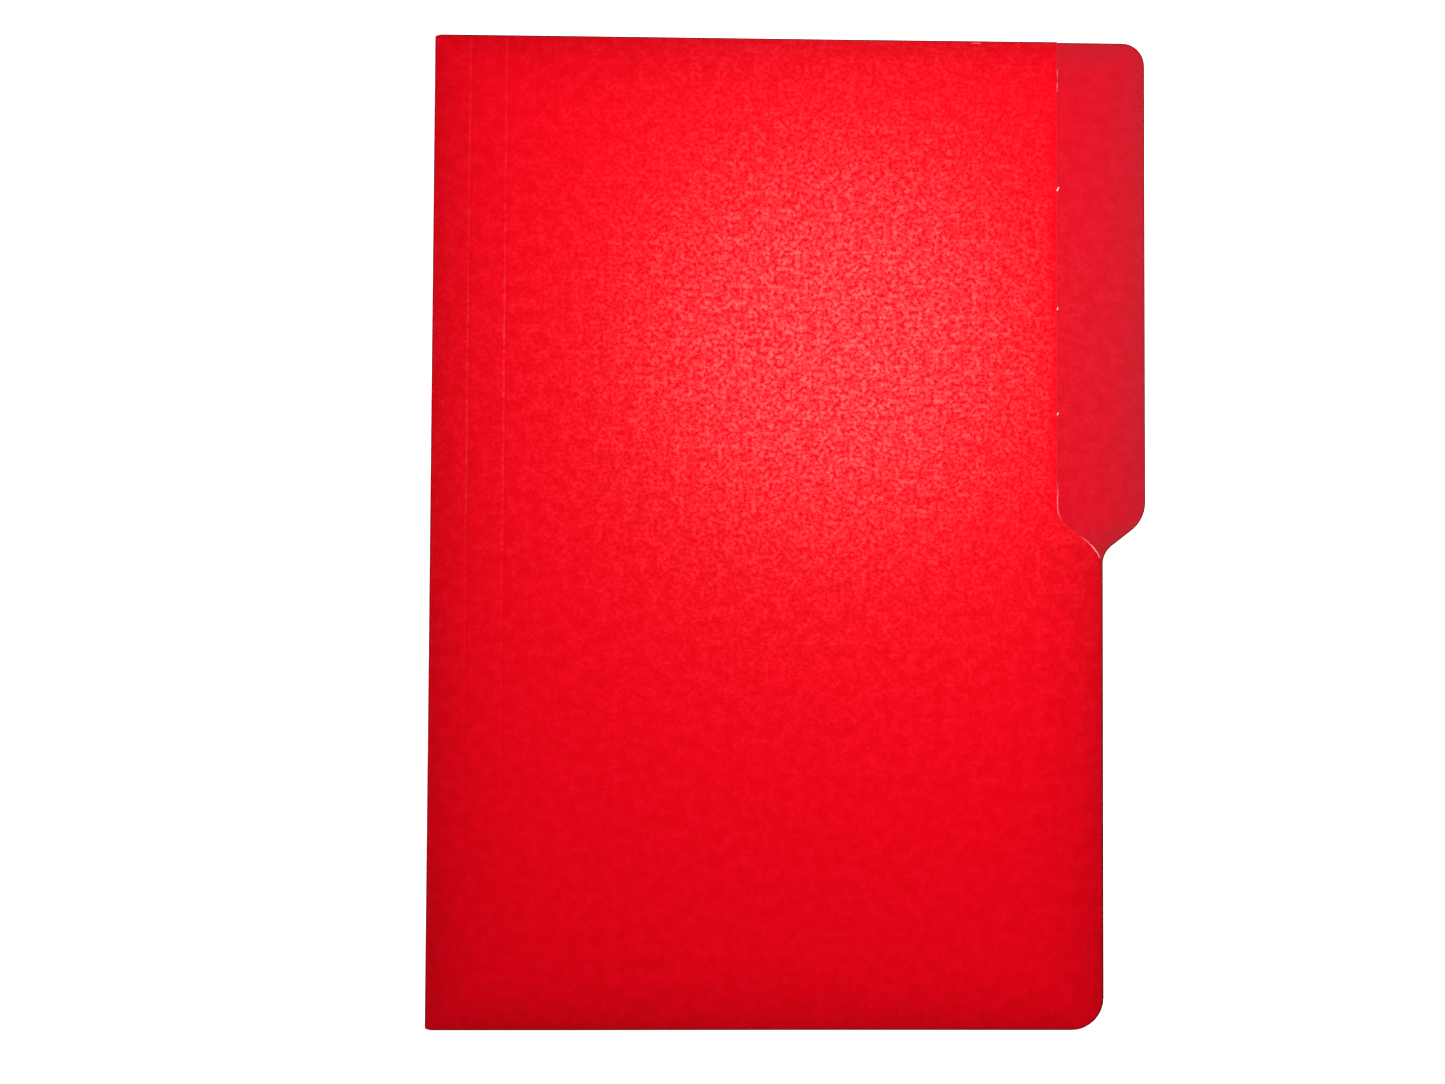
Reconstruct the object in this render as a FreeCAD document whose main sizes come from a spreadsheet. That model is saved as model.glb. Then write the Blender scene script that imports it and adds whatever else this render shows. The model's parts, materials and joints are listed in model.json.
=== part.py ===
import FreeCAD, Part
import os

import Sketcher

# A half-cut card file folder, lying closed. It is one die-cut sheet of card, and its panels
# and creases are modelled as separate sub-parts so that they can turn on the creases.
# The spine is on -X, the index tab is on +X in the +Y half, and the back leaf lies on Z = 0.

SIZES = {
    "card": 0.3,                # thickness of the card
    "fold_gap": 0.5,            # free space between the two leaves when closed
    "leaf_length": 346,         # along the spine
    "leaf_depth": 235,          # from the outside of the fold to the free edge
    "tab_reach": 15,            # how far the index tab stands past the free edge
    "recess_reach": 16,         # how far the front edge is cut back opposite the tab
    "tab_length": 174.5,        # from the top end of the leaf to the middle of the shoulder
    "shoulder_angle": 52,       # slant of the shoulder, measured from the spine direction
    "convex_round": 12.5,       # outward corner of a shoulder, on the tab and on the cover
    "concave_round": 8,         # inward corner of a shoulder, on the tab and on the cover
    "tab_round": 8,             # outer corner of the tab
    "heel_round": 11,           # free corners at the end without the tab
    "inner_gusset_width": 12.7,
    "outer_gusset_width": 12.7,
    "crease_play": 0.05,        # clearance between a crease's core and the panel turning on it
    "cut_margin": 1,            # how far a cutting box runs past the card
}

# Expressions that several sub-parts share
SPINE_X = "(-(Sizes.leaf_depth + Sizes.tab_reach) / 2)"
FREE_EDGE_X = f"({SPINE_X} + Sizes.leaf_depth)"
TAB_EDGE_X = f"({FREE_EDGE_X} + Sizes.tab_reach)"
RECESS_X = f"({FREE_EDGE_X} - Sizes.recess_reach)"
TOP_Y = "(Sizes.leaf_length / 2)"
BOTTOM_Y = "(-Sizes.leaf_length / 2)"
SHOULDER_Y = f"({TOP_Y} - Sizes.tab_length)"
FOLD_OUTSIDE = "(Sizes.card + Sizes.fold_gap / 2)"
FOLD_INSIDE = "(Sizes.fold_gap / 2)"
FOLD_X = f"({SPINE_X} + {FOLD_OUTSIDE})"
FOLD_Z = FOLD_OUTSIDE
PANEL_START_X = f"({FOLD_X} + {FOLD_OUTSIDE} + Sizes.crease_play)"
FRONT_Z = "(Sizes.card + Sizes.fold_gap)"
CORE_RADIUS = "(Sizes.card / 2)"
CORE_Z = f"({FRONT_Z} + {CORE_RADIUS})"
INNER_SCORE_X = f"({SPINE_X} + Sizes.inner_gusset_width)"
OUTER_SCORE_X = f"({INNER_SCORE_X} + Sizes.outer_gusset_width)"

NEAR = 1e-4         # how far off a corner's upright edge may be, in mm
HALF_TURN = 180
QUARTER_TURN = 90


def shoulder_ends(reach):
    """The Y of the shoulder's two ends, for a cut that steps sideways by reach."""
    half = f"({reach} / tan(Sizes.shoulder_angle * 1deg) / 2)"
    return f"({SHOULDER_Y} - {half})", f"({SHOULDER_Y} + {half})"


def make_sizes(doc):
    sheet = doc.addObject("Spreadsheet::Sheet", "Sizes")
    for row, (alias, value) in enumerate(SIZES.items(), start=1):
        sheet.set(f"A{row}", alias.replace("_", " "))
        sheet.set(f"B{row}", str(value))
        sheet.setAlias(f"B{row}", alias)
    doc.recompute()
    return sheet


def origin_plane(body, role):
    return next(f for f in body.Origin.OriginFeatures if f.Role == role)


def draw_outline(sheet, sketch, corners):
    """A closed outline through the corners, each bound to an X and a Y expression."""
    points = [FreeCAD.Vector(sheet.evalExpression(x), sheet.evalExpression(y), 0) for x, y in corners]
    count = len(points)
    for n in range(count):
        sketch.addGeometry(Part.LineSegment(points[n], points[(n + 1) % count]), False)
    for n in range(count):
        sketch.addConstraint(Sketcher.Constraint("Coincident", n, 2, (n + 1) % count, 1))
    for n, (x, y) in enumerate(corners):
        for kind, value, where in (("DistanceX", points[n].x, x), ("DistanceY", points[n].y, y)):
            index = sketch.addConstraint(Sketcher.Constraint(kind, -1, 1, n, 1, value))
            sketch.setExpression(f"Constraints[{index}]", where)


def upright_edge(shape, x, y):
    """The name of the edge of a panel that stands upright at a corner."""
    for n, edge in enumerate(shape.Edges, start=1):
        if all(abs(v.X - x) < NEAR and abs(v.Y - y) < NEAR for v in edge.Vertexes):
            return f"Edge{n}"
    raise ValueError(f"no upright edge at {x}, {y}")


def make_panel(doc, sheet, label, z, corners, rounds=()):
    """A flat panel of card: an outline padded to the card's thickness, with rounded corners."""
    body = doc.addObject("PartDesign::Body", label)
    sketch = body.newObject("Sketcher::SketchObject", f"{label}_outline")
    sketch.AttachmentSupport = [(origin_plane(body, "XY_Plane"), "")]
    sketch.MapMode = "FlatFace"
    draw_outline(sheet, sketch, corners)
    pad = body.newObject("PartDesign::Pad", f"{label}_pad")
    pad.Profile = sketch
    pad.setExpression("Length", "Sizes.card")
    doc.recompute()
    for corner, radius in rounds:
        x, y = (sheet.evalExpression(e) for e in corners[corner])
        fillet = body.newObject("PartDesign::Fillet", f"{label}_round_{corner}")
        base = body.Tip if body.Tip != fillet else fillet.BaseFeature
        fillet.Base = (base, [upright_edge(base.Shape, x, y)])
        fillet.setExpression("Radius", radius)
        body.Tip = fillet
        doc.recompute()
    body.setExpression("Placement.Base.z", z)
    return body


def make_back_sheet(doc, sheet):
    """The whole back sheet with its tab, which the back leaf and the index tab are cut from."""
    low, high = shoulder_ends("Sizes.tab_reach")
    corners = [
        (PANEL_START_X, BOTTOM_Y),
        (FREE_EDGE_X, BOTTOM_Y),
        (FREE_EDGE_X, low),
        (TAB_EDGE_X, high),
        (TAB_EDGE_X, TOP_Y),
        (PANEL_START_X, TOP_Y),
    ]
    rounds = [
        (1, "Sizes.heel_round"),
        (2, "Sizes.concave_round"),
        (3, "Sizes.convex_round"),
        (4, "Sizes.tab_round"),
    ]
    return make_panel(doc, sheet, "back_sheet", "0", corners, rounds)


def make_tab_zone(doc):
    """The box that parts the index tab from the back leaf, along the leaf's free edge."""
    low, _ = shoulder_ends("Sizes.tab_reach")
    zone = doc.addObject("Part::Box", "tab_zone")
    zone.setExpression("Length", "Sizes.tab_reach + Sizes.cut_margin")
    zone.setExpression("Width", f"{TOP_Y} - {low} + Sizes.cut_margin")
    zone.setExpression("Height", "Sizes.card + 2 * Sizes.cut_margin")
    zone.setExpression("Placement.Base.x", FREE_EDGE_X)
    zone.setExpression("Placement.Base.y", low)
    zone.setExpression("Placement.Base.z", "-Sizes.cut_margin")
    return zone


def cut_from(doc, kind, label, base, tool):
    part = doc.addObject(kind, label)
    part.Base = base
    part.Tool = tool
    return part


def make_gusset(doc, sheet, label, start_x, end_x):
    """A plain strip of the front cover between two creases."""
    corners = [(start_x, BOTTOM_Y), (end_x, BOTTOM_Y), (end_x, TOP_Y), (start_x, TOP_Y)]
    return make_panel(doc, sheet, label, FRONT_Z, corners)


def make_front_leaf(doc, sheet):
    """The large panel of the front cover, cut back opposite the tab."""
    low, high = shoulder_ends("Sizes.recess_reach")
    start_x = f"({OUTER_SCORE_X} + {CORE_RADIUS} + Sizes.crease_play)"
    corners = [
        (start_x, BOTTOM_Y),
        (FREE_EDGE_X, BOTTOM_Y),
        (FREE_EDGE_X, low),
        (RECESS_X, high),
        (RECESS_X, TOP_Y),
        (start_x, TOP_Y),
    ]
    rounds = [
        (1, "Sizes.heel_round"),
        (2, "Sizes.convex_round"),
        (3, "Sizes.concave_round"),
    ]
    return make_panel(doc, sheet, "front_leaf", FRONT_Z, corners, rounds)


def make_rod(doc, label, radius, x, z):
    """A round rod along Y, as long as the leaves."""
    rod = doc.addObject("Part::Cylinder", label)
    rod.setExpression("Radius", radius)
    rod.setExpression("Height", "Sizes.leaf_length")
    along_y = FreeCAD.Rotation(FreeCAD.Vector(1, 0, 0), -QUARTER_TURN)
    start_up = FreeCAD.Rotation(FreeCAD.Vector(0, 0, 1), QUARTER_TURN)
    rod.Placement = FreeCAD.Placement(FreeCAD.Vector(), along_y * start_up)
    rod.setExpression("Placement.Base.x", x)
    rod.setExpression("Placement.Base.y", BOTTOM_Y)
    rod.setExpression("Placement.Base.z", z)
    return rod


def make_spine_fold(doc):
    """The band of card that bends round the main fold: a half ring, open towards the leaves."""
    outer = make_rod(doc, "spine_fold_outside", FOLD_OUTSIDE, FOLD_X, FOLD_Z)
    outer.Angle = HALF_TURN
    inner = make_rod(doc, "spine_fold_inside", FOLD_INSIDE, FOLD_X, FOLD_Z)
    return cut_from(doc, "Part::Cut", "spine_fold", outer, inner)


def check_sound(doc, parts):
    for obj in doc.Objects:
        bad = [state for state in obj.State if state in ("Invalid", "Error")]
        if bad:
            raise RuntimeError(f"{obj.Name} is {bad}")
    for part in parts:
        if part.Shape.isNull() or not part.Shape.isValid():
            raise RuntimeError(f"{part.Label} has no valid shape")
        if len(part.Shape.Solids) != 1:
            raise RuntimeError(f"{part.Label} is not one solid")


def main():
    doc = FreeCAD.newDocument("file_folder")
    sheet = make_sizes(doc)
    back_sheet = make_back_sheet(doc, sheet)
    tab_zone = make_tab_zone(doc)
    inner_core_side = f"({INNER_SCORE_X} - {CORE_RADIUS})"
    outer_core_side = f"({OUTER_SCORE_X} - {CORE_RADIUS})"
    past_inner_core = f"({INNER_SCORE_X} + {CORE_RADIUS} + Sizes.crease_play)"
    parts = [
        cut_from(doc, "Part::Cut", "back_leaf", back_sheet, tab_zone),
        cut_from(doc, "Part::Common", "index_tab", back_sheet, tab_zone),
        make_spine_fold(doc),
        make_gusset(doc, sheet, "inner_gusset", PANEL_START_X, inner_core_side),
        make_rod(doc, "inner_score", CORE_RADIUS, INNER_SCORE_X, CORE_Z),
        make_gusset(doc, sheet, "outer_gusset", past_inner_core, outer_core_side),
        make_rod(doc, "outer_score", CORE_RADIUS, OUTER_SCORE_X, CORE_Z),
        make_front_leaf(doc, sheet),
    ]
    doc.recompute()
    check_sound(doc, parts)
    os.makedirs("parts", exist_ok=True)
    for part in parts:
        part.Shape.exportStep(f"parts/{part.Label}.step")


main()
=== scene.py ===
import json
import math
import random
from collections import namedtuple

import bmesh
import bpy
import numpy as np
from bpy.props import FloatProperty, FloatVectorProperty, PointerProperty
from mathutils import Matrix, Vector


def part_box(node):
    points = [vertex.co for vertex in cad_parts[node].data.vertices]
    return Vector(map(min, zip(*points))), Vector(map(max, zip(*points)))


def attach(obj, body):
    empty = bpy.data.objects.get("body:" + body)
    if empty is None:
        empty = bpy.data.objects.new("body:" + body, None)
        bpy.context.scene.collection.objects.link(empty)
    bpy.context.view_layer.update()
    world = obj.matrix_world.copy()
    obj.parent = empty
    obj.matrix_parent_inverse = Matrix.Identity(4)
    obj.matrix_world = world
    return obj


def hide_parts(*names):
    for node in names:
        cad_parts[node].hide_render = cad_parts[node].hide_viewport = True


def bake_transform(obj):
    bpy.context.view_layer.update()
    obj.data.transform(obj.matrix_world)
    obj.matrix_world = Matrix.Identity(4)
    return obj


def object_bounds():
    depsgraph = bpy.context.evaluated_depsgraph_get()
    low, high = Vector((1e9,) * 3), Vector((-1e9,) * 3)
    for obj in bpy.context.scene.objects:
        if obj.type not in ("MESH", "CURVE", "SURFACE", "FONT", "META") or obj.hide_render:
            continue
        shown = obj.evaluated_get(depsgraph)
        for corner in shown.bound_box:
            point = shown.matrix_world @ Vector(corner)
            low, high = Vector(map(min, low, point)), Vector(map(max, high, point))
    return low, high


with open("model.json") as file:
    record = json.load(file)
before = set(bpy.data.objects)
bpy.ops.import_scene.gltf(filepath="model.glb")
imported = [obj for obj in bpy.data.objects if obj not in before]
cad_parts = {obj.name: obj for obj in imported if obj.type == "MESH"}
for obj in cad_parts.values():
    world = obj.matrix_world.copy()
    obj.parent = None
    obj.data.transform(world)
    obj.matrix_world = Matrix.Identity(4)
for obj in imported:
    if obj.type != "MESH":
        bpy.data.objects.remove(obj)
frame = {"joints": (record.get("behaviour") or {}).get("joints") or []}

# The looks of a half-cut card file folder. Its one sheet of card is made as three pieces that
# meet in the middle of the two expansion strips, so that each takes in one crease only.

bl_info = {
    "name": "Card file folder",
    "version": (1, 0, 0),
    "blender": (4, 5, 0),
    "location": "View3D > Sidebar > Folder",
    "description": "Builds the card of a half-cut file folder round its packed frame",
    "category": "Add Mesh",
}

MM = 0.001
CARD_MAP = "card_map"
SHARP_ANGLE = math.radians(50)

# Places, from the frame
CAD_LOW, CAD_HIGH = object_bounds()
JOINTS = {joint["name"]: Vector(joint["pos_m"]) for joint in frame["joints"]}
FOLD = JOINTS["cover_opening"]
INNER_SCORE = JOINTS["inner_score_bend"]
OUTER_SCORE = JOINTS["outer_score_bend"]
BACK_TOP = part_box("back_leaf")[1].z
COVER_LOW, COVER_TOP = (corner.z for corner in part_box("front_leaf"))
CARD = COVER_TOP - COVER_LOW
END_Y = CAD_HIGH.y
FREE_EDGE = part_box("front_leaf")[1].x
TAB_EDGE = CAD_HIGH.x
TAB_REACH = TAB_EDGE - FREE_EDGE
TAB_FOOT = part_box("index_tab")[0].y
INNER_SEAM = (FOLD.x + INNER_SCORE.x) / 2
OUTER_SEAM = (INNER_SCORE.x + OUTER_SCORE.x) / 2


# ---------------------------------------------------------------- sizes and colours


def length(name, description, default):
    """A length in metres."""
    return FloatProperty(name=name, description=description, default=default,
                         subtype="DISTANCE", unit="LENGTH", precision=5)


def angle(name, description, default):
    """An angle, whose default is given in degrees."""
    return FloatProperty(name=name, description=description, default=math.radians(default),
                         subtype="ANGLE", unit="ROTATION")


def share(name, description, default):
    """A share of something whole."""
    return FloatProperty(name=name, description=description, default=default, subtype="FACTOR")


def colour(name, description, default):
    """A colour in linear light."""
    return FloatVectorProperty(name=name, description=description, default=default,
                               size=3, min=0, max=1, subtype="COLOR")


class FolderSizes(bpy.types.PropertyGroup):
    """Sizes of the die-cut outline and of the small relief on the card"""

    shoulder_angle: angle("Shoulder angle", "Slant of the shoulder from the spine direction", 52)
    convex_round: length("Convex round", "Outward corner of a shoulder", 12.5 * MM)
    concave_round: length("Concave round", "Inward corner of a shoulder", 8 * MM)
    tab_round: length("Tab round", "Outer corner of the tab", 8 * MM)
    recess_reach: length("Recess reach", "How far the cover is cut back opposite the tab", 16 * MM)
    heel_round: length("Heel round", "Free corners at the end without the tab", 11 * MM)
    cover_inset: length("Cover inset", "How far the cover stops short of the back leaf", 0.4 * MM)
    face_step: length("Face step", "Spacing of the mesh across the leaves", 4 * MM)
    pressed_band: length("Pressed band", "Width of the edge that the die presses down", 0.5 * MM)
    pressed_drop: length("Pressed drop", "How far the die presses the edge down", 0.05 * MM)
    edge_bevel: length("Edge bevel", "Rounding of the cut edges", 0.05 * MM)
    groove_reach: length("Groove reach", "Half width of a scored groove", 0.45 * MM)
    groove_depth: length("Groove depth", "Depth of a scored groove", 0.05 * MM)
    crease_zone: length("Crease zone", "Half width of the card that bends at a score", 0.8 * MM)
    spine_wear: length("Spine wear", "How far the ends of the fold are worn back", 0.7 * MM)
    cover_sag: length("Cover sag", "How far the cover sags between its high places", 0.32 * MM)
    tuft_size: length("Tuft size", "Length of the fibres that a nick of the die leaves", 1.1 * MM)
    burr_width: length("Burr width", "Width of the ragged lip along a cut", 0.5 * MM)
    burr_step: length("Burr step", "Spacing of the rings along a burr on the cover's edge", 0.6 * MM)


class FolderColours(bpy.types.PropertyGroup):
    """Colours of the card"""

    outside: colour("Outside", "Calendered outer face", (0.90, 0.0, 0.011))
    outside_deep: colour("Outside, deep", "Outer face where the fibres are dense", (0.82, 0.0, 0.007))
    inside: colour("Inside", "Duller inner face", (0.69, 0.003, 0.017))
    inside_deep: colour("Inside, deep", "Inner face where the fibres are dense", (0.65, 0.002, 0.013))
    # Painted shade: the pressed band round the cut edges and the outside of the bend at the fold are
    # darkened past the card's own colour.
    edge: colour("Pressed edge", "Edge that the die has pressed and darkened", (0.20, 0.0, 0.001))
    # Painted shadow: the cover's cut edge opposite the tab is darkened for the shadow line it makes against
    # the tab.
    recess: colour("Recess edge", "Edge of the cover opposite the tab", (0.58, 0.0, 0.006))
    # Pale wear on creases and fibres; on the scores and beside the fold the pale lines are partly painted
    # highlight.
    worn: colour("Worn crease", "Crease that handling has rubbed pale", (0.95, 0.03, 0.055))
    core: colour("Cut core", "The card's core where it is cut", (0.80, 0.10, 0.13))
    torn: colour("Torn core", "The card's core where it is torn", (1.0, 0.88, 0.88))
    # Pale core, lightened further as painted highlight where the lip catches the light.
    burr: colour("Burr", "Ragged lip along a cut", (1.0, 0.36, 0.40))
    # Painted shadow: a darker line on the tab beside the cover's edge.
    contact_shadow: colour("Contact shadow line", "Where the cover's edge rubs the tab", (0.72, 0.0, 0.01))
    # Painted shade: near their outer edges the faces are mixed towards these colours, most at the very edge.
    border_shade: colour("Painted edge shade", "Outer face where hands have darkened its edges", (0, 0, 0))
    border_shade_inside: colour("Painted edge shade inside", "Inner face near its edges", (0, 0.03, 0.035))
    floor: colour("Floor", "Studio floor", (0.96, 0.96, 0.96))


class CardFinish(bpy.types.PropertyGroup):
    """Grain, gloss and wear of the card's faces"""

    cloud_size: length("Cloud size", "Width of the clouds in the pressed card", 4.5 * MM)
    fibre_size: length("Fibre size", "Width of the short fibres", 0.45 * MM)
    fleck_size: length("Fleck size", "Width of the matt flecks", 1.2 * MM)
    fleck_depth: share("Fleck depth", "How far a fleck takes the deeper colour", 0.7)
    face_rough: share("Face roughness", "Roughness of the faces between the clouds", 0.62)
    cloud_smooth: share("Cloud smoothness", "How much less rough a cloud is", 0.1)
    sizing_rough: share("Sizing roughness", "Roughness of the glossy sizing", 0.27)
    outside_gloss: share("Outside gloss", "Weight of the sizing on the outer face", 0.23)
    inside_gloss: share("Inside gloss", "Weight of the sizing on the inner face", 0.06)
    relief: length("Relief", "Height of the grain on the faces", 0.07 * MM)
    # Painted shade towards the outer edges: how far in it reaches and how dark it is at the very edge.
    border_shade_reach: length("Painted edge shade reach", "How far in from the edges handling shows", 12.5 * MM)
    border_shade_depth: share("Painted edge shade depth", "How far handling darkens the very edge", 0.3)
    # The pale lines on the scores and beside the fold are partly rub wear, partly painted highlight.
    score_reach: length("Score wear reach", "Half width of the wear on a crease", 0.6 * MM)
    score_wear_and_highlight: share("Score wear", "How far the scored lines are rubbed pale", 0.2)
    fold_wear_and_highlight: share("Fold wear and highlight", "How far the line beside the main fold is rubbed pale", 0.16)
    bend_reach: length("Bend reach", "How far in from the fold its shaded outside shows", 0.7 * MM)
    # Painted shadow on the tab beside the cover's edge: its half width and its depth.
    contact_shadow_reach: length("Contact shadow reach", "Half width of the line that the cover rubs on the tab", 0.9 * MM)
    contact_shadow_depth: share("Contact shadow depth", "How far the cover's edge has rubbed the tab", 0.9)


class StageSettings(bpy.types.PropertyGroup):
    """Camera, lamp and floor"""

    camera_x: length("Camera X", "Place of the camera across the folder", -36.7 * MM)
    camera_y: length("Camera Y", "Place of the camera along the spine", -23.6 * MM)
    camera_height: length("Camera height", "Height of the camera above the floor", 600 * MM)
    tilt: angle("Tilt", "How far the camera looks towards the tab's end", 1.83)
    lean: angle("Lean", "How far the camera looks towards the tab", -1.284)
    roll: angle("Roll", "Turn of the camera about its own line of sight", 0.304)
    lens: FloatProperty(name="Lens", description="Focal length in mm", default=42.88)
    key_x: length("Key X", "Place of the key lamp across the folder", 58 * MM)
    key_y: length("Key Y", "Place of the key lamp along the spine", 134 * MM)
    key_aim_y: length("Key aim Y", "Where along the spine the key lamp points", 20 * MM)
    key_height: length("Key height", "Height of the key lamp", 474 * MM)
    key_size: length("Key size", "Width of the key lamp", 210 * MM)
    key_power: FloatProperty(name="Key power", description="Power of the key lamp in W", default=2.85)
    sky: share("Sky", "Strength of the even light from all round", 0.095)
    floor_glow: share("Floor glow", "Light that the floor gives off", 1.0)


# ---------------------------------------------------------------- outline of the card


def shoulder_middle(sizes):
    """The Y of the middle of both shoulders."""
    return TAB_FOOT + TAB_REACH / math.tan(sizes.shoulder_angle) / 2


def step_edge(y, low_x, high_x, sizes):
    """The X of an edge that steps from low_x to high_x over the shoulder."""
    reach = abs(high_x - low_x)
    turn = sizes.shoulder_angle
    low_round, high_round = sizes.concave_round, sizes.convex_round
    if high_x < low_x:
        low_round, high_round = high_round, low_round
    foot = shoulder_middle(sizes) - reach / math.tan(turn) / 2
    head = shoulder_middle(sizes) + reach / math.tan(turn) / 2
    low_start = foot - low_round * math.tan(turn / 2)
    slant_start = low_start + low_round * math.sin(turn)
    high_end = head + high_round * math.tan(turn / 2)
    slant_end = high_end - high_round * math.sin(turn)
    if y <= low_start:
        step = 0
    elif y < slant_start:
        step = low_round - math.sqrt(low_round ** 2 - (y - low_start) ** 2)
    elif y <= slant_end:
        step = (y - foot) * math.tan(turn)
    elif y < high_end:
        step = reach - high_round + math.sqrt(high_round ** 2 - (high_end - y) ** 2)
    else:
        step = reach
    return low_x + math.copysign(step, high_x - low_x)


def corner_cut(y, start, radius):
    """How much a rounded corner that starts at distance start from the middle takes off."""
    past = min(abs(y) - start, radius)
    return radius - math.sqrt(radius ** 2 - past ** 2) if past > 0 else 0


def back_edge(y, sizes):
    """The X of the back leaf's free edge, with its tab and both rounded corners."""
    radius = sizes.tab_round if y > 0 else sizes.heel_round
    return step_edge(y, FREE_EDGE, TAB_EDGE, sizes) - corner_cut(y, END_Y - radius, radius)


def cover_edge(y, sizes):
    """The X of the cover's free edge, cut back opposite the tab."""
    edge = step_edge(y, FREE_EDGE - sizes.cover_inset, FREE_EDGE - sizes.recess_reach, sizes)
    return edge if y > 0 else edge - corner_cut(y, END_Y - sizes.heel_round, sizes.heel_round)


def row_places(sizes):
    """The Y of every row of the mesh: close at the corners and the shoulder, wide elsewhere."""
    corner_steps = 8
    places = {-END_Y, END_Y, END_Y - sizes.pressed_band, sizes.pressed_band - END_Y}
    for side, radius in ((1, sizes.tab_round), (-1, sizes.heel_round)):
        for n in range(corner_steps):
            rise = math.sin(n / corner_steps * math.pi / 2)
            places.add(side * (END_Y - radius + radius * rise))
    shoulder_span = 2.2 * TAB_REACH
    steps = round(shoulder_span / MM)
    middle = shoulder_middle(sizes)
    places.update(middle + (n / steps - 0.5) * shoulder_span for n in range(steps + 1))
    below = (sizes.heel_round - END_Y, middle - shoulder_span / 2)
    above = (middle + shoulder_span / 2, END_Y - sizes.tab_round)
    for low, high in (below, above):
        count = round((high - low) / sizes.face_step)
        places.update(low + (high - low) * n / count for n in range(1, count))
    return sorted(places)


# ---------------------------------------------------------------- cross-section of the card


def groove(x, sizes):
    """How deep the card is scored at X, as a share of its full depth."""
    scores = (INNER_SCORE, OUTER_SCORE)
    return sum(math.exp(-((x - score.x) / sizes.groove_reach) ** 2) for score in scores)


def cover_drop(x, y, sizes):
    """How far the cover hangs below flat: none by the creases, in broad shallow waves beyond."""
    flat_strip, rise = 5 * MM, 60 * MM
    across = min(max((x - OUTER_SCORE.x - flat_strip) / rise, 0), 1)
    start = across * across * (3 - 2 * across)
    cross_wave, cross_start = 31 * MM, 1.1
    long_wave, long_slant = 37 * MM, 90 * MM
    wave = (0.5 + 0.28 * math.sin(x / cross_wave + cross_start)
            + 0.22 * math.sin(y / long_wave - x / long_slant))
    return sizes.cover_sag * start * wave


def cover_station(x, y, sizes):
    """The outer and the inner point of the cover's card at one place."""
    drop = cover_drop(x, y, sizes)
    pressed = sizes.groove_depth * groove(x, sizes)
    inner_share = 0.8
    return (Vector((x, y, COVER_TOP - drop - pressed)),
            Vector((x, y, COVER_LOW - drop - pressed * inner_share)))


def back_station(x, y):
    """The outer and the inner point of the back leaf's card at one place."""
    return Vector((x, y, 0)), Vector((x, y, BACK_TOP))


def fold_station(turn, y, sizes):
    """The outer and the inner point of the card where it bends round the main fold."""
    outward = Vector((-math.sin(turn), 0, -math.cos(turn)))
    middle = Vector((FOLD.x, y, FOLD.z))
    return middle + outward * FOLD.z, middle + outward * (FOLD.z - CARD)


def end_wear(x, y, sizes):
    """Y with the ends of the fold worn back to a small rounding."""
    near_fold = math.exp(-((x - CAD_LOW.x) / sizes.spine_wear) ** 2)
    worn_stretch = 3 * sizes.spine_wear
    near_end = max(0, 1 - (END_Y - abs(y)) / worn_stretch)
    return y - math.copysign(sizes.spine_wear * near_fold * near_end, y)


def score_columns(score, start, end, sizes):
    """X places across a score, close in the groove and wider beside it."""
    reaches, steps_each = 2, 4
    fine = [n / steps_each * sizes.groove_reach for n in range(reaches * steps_each + 1)]
    coarse = [sizes.crease_zone * zones for zones in (1.4, 2)]
    offsets = sorted({side * d for d in fine + coarse for side in (1, -1)})
    return [start] + [score.x + d for d in offsets if start < score.x + d < end] + [end]


def leaf_columns(start, edge, slope, sizes, count):
    """X places from start to the free edge, with the pressed band as the last of them. The band
    is widened in X where the edge slants, so that it keeps its width across the slant."""
    least_facing = 0.25
    facing = max(1 / math.hypot(1, slope), least_facing)
    band = edge - sizes.pressed_band / facing
    return [start + (band - start) * n / count for n in range(1, count + 1)] + [edge]


def edge_slope(edge, y, sizes):
    """How fast an edge's X changes along Y."""
    step = 0.05 * MM
    low, high = max(y - step, -END_Y), min(y + step, END_Y)
    return (edge(high, sizes) - edge(low, sizes)) / (high - low)


# ---------------------------------------------------------------- mesh of the card


# The two bands along the cut edges carry painted shade.
OUTSIDE, INSIDE, EDGE, CORE, RECESS_SHADE = range(5)


def press_edges(stations, cut_start, cut_end, sizes):
    """Presses the cut edges of a grid of stations down, as the die does."""
    ends = [column for column, cut in ((0, cut_start), (-1, cut_end)) if cut]
    at_sides = [row[column] for row in stations for column in ends]
    for outer, inner in at_sides + stations[0] + stations[-1]:
        outer += (inner - outer).normalized() * sizes.pressed_drop


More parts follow.
